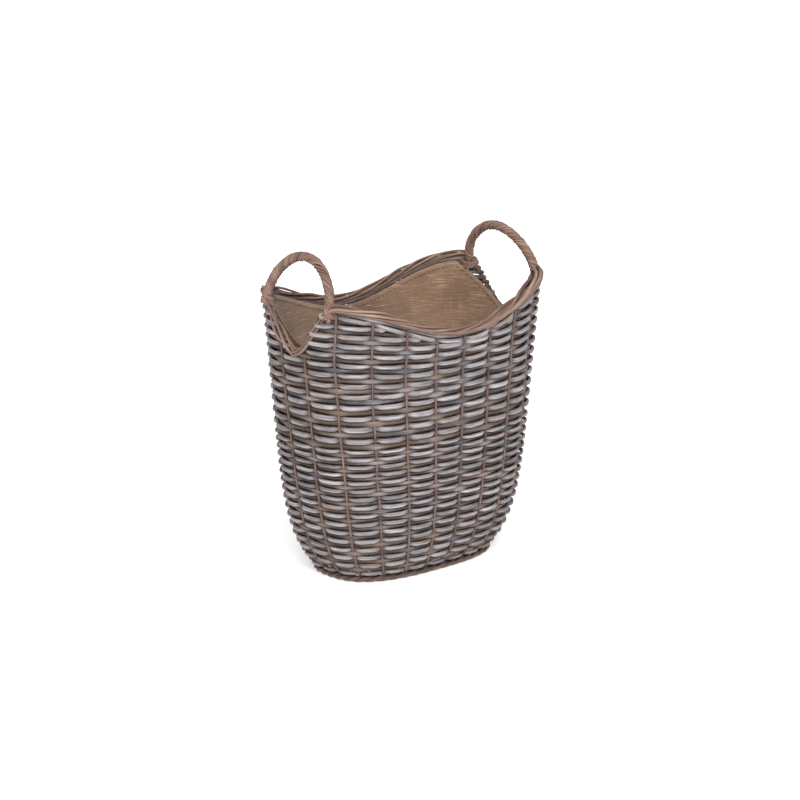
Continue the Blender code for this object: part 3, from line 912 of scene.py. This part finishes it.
def side_border(name, side, node_name, materials):
    """Border of rods turning slowly about one another; their ends rise into the handles.

    Side 0 is the back and 1 the front.
    """
    feet = ("right_back", "left_back") if side == 0 else ("left_front", "right_front")
    low, high = (FEET[foot] for foot in feet)
    middle = rim_line(low + 0.05, high - 0.05, 90)
    signs = (1.0, -1.0) if side == 0 else (-1.0, 1.0)
    ends = (0.0, 0.0) if side == 0 else (pi, pi)
    rods = Rods()
    strands = 7
    rod = SIDE_BORDER * 0.160
    ring = SIDE_BORDER / 2 - rod
    for strand in range(strands):
        climbs = rng.uniform(0.06, 0.20), rng.uniform(0.16, 0.44)
        parts = [middle]
        for sign, start, climb, first in zip(signs, ends, climbs, (True, False)):
            turn = np.linspace(0.04, climb, 8)
            turn = turn if start == 0.0 else pi - turn
            rise = handle_point(sign, turn)
            parts = [rise[::-1]] + parts if first else parts + [rise]
        path = smoothed(np.concatenate(parts), 3)
        number = len(path)
        share = np.linspace(0.0, 1.0, number)
        core = strand == strands - 1
        turns = 1.7 * share + 0.10 * np.sin(9 * share + strand)
        angle = 2 * pi * (strand / (strands - 1) + turns) + wobble(share * 12, 0.35)
        fan = np.sin(pi * np.clip((share - 0.58) / 0.42, 0.0, 1.0))
        spread = 1.0 + (0.20 + 0.50 * side) * fan
        lay = (0.15 if core else 1.0) * ring * spread * (1.0 + wobble(share * 20, 0.10))
        size = tapered(number, rod * rng.uniform(0.85, 1.15), 5) * (1.0 + 0.3 * side * fan)
        wash = rng.uniform(0.25, 0.75) + wobble(share * 15, 0.25)
        wind(rods, path, (0.0, 0.0, 1.0), lay, angle, size, wash)
    piece = rods.build(name, materials["border"])
    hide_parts(node_name)


def smoothed(path, passes):
    """Path with its corners rounded."""
    for _ in range(passes):
        path[1:-1] = path[:-2] * 0.25 + path[1:-1] * 0.5 + path[2:] * 0.25
    return path


def end_border(name, middle, low, high, node_name, materials):
    """Thin rods laid over one another down one edge of a notch and up the other."""
    rods = Rods()
    strands = 4 if middle == 0.0 else 6
    for strand in range(strands):
        place = middle + np.linspace(low + 0.1, high - 0.1, 60)
        broad = 0.0032 + 0.0035 * on_back_of_left_notch(place)
        depth = 0.0024 + broad * (1.0 + np.sin(place * 3.4 + strand * 2 * pi / strands))
        across = MIDDLE + 0.0042 * np.cos(strand * 2.4 + place * 3.0)
        path = wall(place, below_rim(place, depth), across)
        size = tapered(60, NOTCH_ROD * rng.uniform(0.9, 1.15), 5)
        wash = 0.4 + wobble(place * 4, 0.3)
        # The depth given paints a little shade over these rods.
        rods.add(path, wall_normal(place, rim_height(place)), size, size, wash, depth=0.12)
    piece = rods.build(name, materials["border"])
    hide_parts(node_name)


def build_borders(materials):
    """Borders along the sides and in the notches."""
    side_border("rim_back", 0, "back_border", materials)
    side_border("rim_front", 1, "front_border", materials)
    end_border("rim_left_end", STAKE_COUNT / 2, -LEFT_FOOT, LEFT_FOOT, "left_end_border", materials)
    end_border("rim_right_end", 0.0, -FOOT_PLACE, BACK_RIGHT_FOOT, "right_end_border", materials)


# ---- foot and base ------------------------------------------------------------------------


def build_foot(materials):
    """Rods twisted around the bottom edge."""
    rods = Rods()
    number = STAKE_COUNT * 10
    place = np.arange(number) * STAKE_COUNT / number
    strands = 3
    for strand in range(strands):
        turns = 14 * place / STAKE_COUNT
        angle = 2 * pi * (strand / strands + turns)
        inset = 0.0100 - 0.0046 * np.cos(angle)
        height = FOOT_TOP / 2 + 0.0022 * np.sin(angle)
        path = wall(place, FOOT_TOP, inset)
        path[:, 2] = height
        wash = 0.22 + 0.12 * strand + wobble(place, 0.2)
        # The depth given paints shade over the foot rods.
        rods.add(path, wall_normal(place, FOOT_TOP), 0.0036, 0.0033, wash, True, depth=0.22)
    piece = rods.build("foot_rods", materials["foot"])
    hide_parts("foot_border")


def build_base(materials):
    """Rods woven along the base over and under the cross sticks, and the sticks."""
    rods = Rods()
    low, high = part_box("base_weave")
    middle = (low.z + high.z) / 2
    pitch = 0.0075
    count = int(2 * high.y / pitch)
    for index in range(count):
        y = (index - (count - 1) / 2) * pitch
        reach = (1.0 - (abs(y) / high.y) ** OVAL_EXPONENT) ** (1.0 / OVAL_EXPONENT)
        x = np.linspace(-high.x * reach, high.x * reach, 90)
        wave = np.cos(pi * x / 0.040 + pi * index)
        path = np.stack([x, np.full(90, y), middle + 0.0018 * wave], axis=-1)
        rods.add(path, (0.0, 0.0, 1.0), 0.0024, 0.0036, 0.4)
    piece = rods.build("base_rods", materials["base"])
    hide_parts("base_weave")
    for name in NODES:
        if not name.startswith("base_stick_"):
            continue
        low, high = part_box(name)
        axis = 0 if high.x - low.x > high.y - low.y else 1
        path = np.tile(np.array((low + high) / 2), (40, 1))
        path[:, axis] = np.linspace(low[axis], high[axis], 40)
        rods = Rods()
        size = tapered(40, STICK_RADIUS, 3, 0.6)
        rods.add(path, (0.0, 0.0, 1.0), size, size, 0.5)
        piece = rods.build(name.replace("stick", "rod"), materials["base"])
        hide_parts(name)


# ---- lining -------------------------------------------------------------------------------


def cloth_piece(name, points, faces, coords, outward, material):
    """Cloth mesh with thread coordinates and the direction in which its outer face looks, where the cloth
    material paints shade.
    """
    mesh = bpy.data.meshes.new(name)
    mesh.from_pydata(points.tolist(), [], faces)
    for layer, values in (("cloth_coord", coords), ("cloth_out", outward)):
        attribute = mesh.attributes.new(layer, "FLOAT_VECTOR", "POINT")
        attribute.data.foreach_set("vector", np.ascontiguousarray(values).ravel())
    mesh.shade_smooth()
    mesh.materials.append(material)
    piece = bpy.data.objects.new(name, mesh)
    bpy.context.scene.collection.objects.link(piece)
    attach(piece, "root")
    return piece


LINING_SIDE_DROP = 0.0175  # from the top of the border to the edge of the lining
LINING_END_DROP = 0.003
LINING_CORNER = 1.7  # stakes from the bottom of a cut to its upper corners
LINING_GAP = 0.0015
CLOTH = 0.0012
HEM = 0.008


def lining_top(place):
    """Edge of the lining: under the borders along the sides, and cut as a straight V at the ends."""
    place = np.mod(place, STAKE_COUNT)
    side = below_rim(place, LINING_SIDE_DROP)
    cuts = []
    for middle in (0.0, STAKE_COUNT / 2 + LEFT_NOTCH_MIDDLE, STAKE_COUNT):
        low = rim_height(middle) - LINING_END_DROP
        high = below_rim(middle % STAKE_COUNT + LINING_CORNER, LINING_SIDE_DROP)
        share = np.clip(np.hypot((place - middle) / LINING_CORNER, 0.06), 0.0, 1.0)
        cuts.append(np.where(np.abs(place - middle) < LINING_CORNER, low + (high - low) * share, 1.0))
    cut = np.minimum(np.minimum(cuts[0], cuts[1]), cuts[2])
    return np.minimum(side + (1.0 - np.minimum(from_end(place) / FOOT_PLACE, 1.0)) * 0.3, cut)


def build_lining(material, twine):
    """Hessian wall of the lining, with slack folds."""
    columns = 220
    rows = 60
    place = np.arange(columns) * STAKE_COUNT / columns
    top = lining_top(place)
    share = np.linspace(0.0, 1.0, rows)
    height = LINING_BOTTOM + (top[None] - LINING_BOTTOM) * share[:, None]
    places = np.broadcast_to(place, height.shape)
    slack = 0.0012 * np.sin(places * 2.1 + 3 * height * 10) + 0.0008 * np.sin(places * 5.3 + 1.3)
    points = wall(places, height, WALL + LINING_GAP + np.abs(slack))
    steps = np.linalg.norm(np.diff(points[rows // 2], axis=0), axis=1)
    around = np.concatenate([[0.0], np.cumsum(steps)])
    coords = np.stack(
        [np.broadcast_to(around, height.shape), height, np.zeros_like(height)], axis=-1
    )
    faces = []
    for row in range(rows - 1):
        for column in range(columns):
            after = (column + 1) % columns
            here, above = row * columns, (row + 1) * columns
            faces.append([here + column, here + after, above + after, above + column])
    points = points.reshape(-1, 3)
    outward = wall_normal(places, height).reshape(-1, 3)
    piece = cloth_piece("lining_cloth", points, faces, coords.reshape(-1, 3), outward, material)
    thicken = piece.modifiers.new("thickness", "SOLIDIFY")
    thicken.thickness = CLOTH
    thicken.offset = 0.0
    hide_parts("lining_wall")


def build_lining_base(material):
    """Round-cornered bottom of the lining."""
    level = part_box("lining_base")[1].z
    half_length, half_width = (float(size) - WALL - 0.0022 for size in half_axes(level))
    rings = 24
    columns = 120
    points = [[0.0, 0.0, level]]
    for ring in range(1, rings + 1):
        for column in range(columns):
            x, y = oval(2 * pi * column / columns)
            share = ring / rings
            points.append([half_length * x * share, half_width * y * share, level - 0.0006])
    faces = [[0, 1 + c, 1 + (c + 1) % columns] for c in range(columns)]
    for ring in range(rings - 1):
        for c in range(columns):
            a = 1 + ring * columns
            b = a + columns
            faces.append([a + c, b + c, b + (c + 1) % columns, a + (c + 1) % columns])
    points = np.array(points)
    points[:, 2] += 0.0003 * np.sin(points[:, 0] * 60) * np.cos(points[:, 1] * 70)
    below = np.tile([0.0, 0.0, -1.0], (len(points), 1))
    piece = cloth_piece("lining_bottom", points, faces, points.copy(), below, material)
    thicken = piece.modifiers.new("thickness", "SOLIDIFY")
    thicken.thickness = CLOTH
    thicken.offset = -1.0
    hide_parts("lining_base")
    x, y = oval(np.arange(columns) * 2 * pi / columns)
    cut = half_length * half_width * float(np.sum(x * np.roll(y, -1) - np.roll(x, -1) * y)) / 2


def build_twine(material):
    """Running stitch along the hem: short stitches on the inside of the cloth."""
    rods = Rods()
    stitches = 150
    for index in range(stitches):
        place = (index + np.linspace(0.0, 0.55, 6)) * STAKE_COUNT / stitches
        height = lining_top(place) - HEM
        depth = WALL + 0.0032 + 0.0012 * np.sin(np.linspace(0, pi, 6))
        path = wall(place, height, depth)
        rods.add(path, wall_normal(place, height), 0.0007, 0.0007, 0.6, sides=6)
    piece = rods.build("lining_twine", material)
    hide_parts("lining_stitching")
    return piece


# ---- stage --------------------------------------------------------------------------------


def build_stage():
    """Pale floor, soft light and a bright even surround."""
    mesh = bpy.data.meshes.new("floor")
    size = 30.0
    corners = [(-size, -size, 0), (size, -size, 0), (size, size, 0), (-size, size, 0)]
    mesh.from_pydata(corners, [], [(0, 1, 2, 3)])
    floor = bpy.data.objects.new("floor", mesh)
    material, tree, shader = new_material("floor", 0.9)
    shader.inputs["Base Color"].default_value = (0.93, 0.93, 0.93, 1.0)
    shader.inputs["Emission Color"].default_value = (1.0, 1.0, 1.0, 1.0)
    shader.inputs["Emission Strength"].default_value = 0.36
    mesh.materials.append(material)
    bpy.context.scene.collection.objects.link(floor)
    world = bpy.data.worlds.new("surround")
    world.use_nodes = True
    tree = world.node_tree
    background = tree.nodes["Background"]
    background.inputs["Color"].default_value = (1.0, 1.0, 1.0, 1.0)
    rays = tree.nodes.new("ShaderNodeLightPath")
    strength = maths(tree, "ADD", maths(tree, "MULTIPLY", rays.outputs["Is Camera Ray"], 0.5), 0.6)
    tree.links.new(strength, background.inputs["Strength"])
    bpy.context.scene.world = world
    add_sun("key", (-0.75, -1.0, 0.85), 3.0, 35.0)


def add_sun(name, place, power, softness):
    """Soft sun from the direction of a place."""
    data = bpy.data.lights.new(name, "SUN")
    data.energy = power
    data.angle = radians(softness)
    light = bpy.data.objects.new(name, data)
    light.rotation_euler = (-Vector(place)).to_track_quat("-Z", "Y").to_euler()
    bpy.context.scene.collection.objects.link(light)


AZIMUTH = radians(-41.88)
ELEVATION = radians(14.67)
DISTANCE = 5.0
FOCAL_PIXELS = 2898.0
IMAGE_PIXELS = 800
BASE_IN_IMAGE = (402.8, 557.0)


def build_camera():
    """Camera at the viewing angle; the base's middle lands at its place in the image."""
    back = Vector(
        (sin(AZIMUTH) * cos(ELEVATION), -cos(AZIMUTH) * cos(ELEVATION), sin(ELEVATION))
    )
    right = Vector((cos(AZIMUTH), sin(AZIMUTH), 0.0))
    up = back.cross(right)
    aside = (BASE_IN_IMAGE[0] - IMAGE_PIXELS / 2) / FOCAL_PIXELS * DISTANCE
    above = -(BASE_IN_IMAGE[1] - IMAGE_PIXELS / 2) / FOCAL_PIXELS * DISTANCE
    data = bpy.data.cameras.new("camera")
    data.sensor_width = 36.0
    data.lens = FOCAL_PIXELS / IMAGE_PIXELS * data.sensor_width
    camera = bpy.data.objects.new("camera", data)
    axes = Matrix((right, up, back)).transposed().to_4x4()
    axes.translation = back * DISTANCE - right * aside - up * above
    camera.matrix_world = axes
    bpy.context.scene.collection.objects.link(camera)
    bpy.context.scene.camera = camera


def main():
    """Builds the pieces, the stage and the camera."""
    materials = build_materials()
    cloth = hessian("hessian_cloth")
    twine = willow("jute_twine", BROWN_BARK, WARM_WASH, 0.8)
    build_weave(materials)
    build_stakes(materials)
    build_borders(materials)
    build_handle("left", -1.0, materials)
    build_handle("right", 1.0, materials)
    build_handle_ties(materials)
    build_foot(materials)
    build_base(materials)
    build_lining(cloth, build_twine(twine))
    build_lining_base(cloth)
    build_stage()
    build_camera()
    bpy.context.scene.view_settings.view_transform = "Standard"


main()
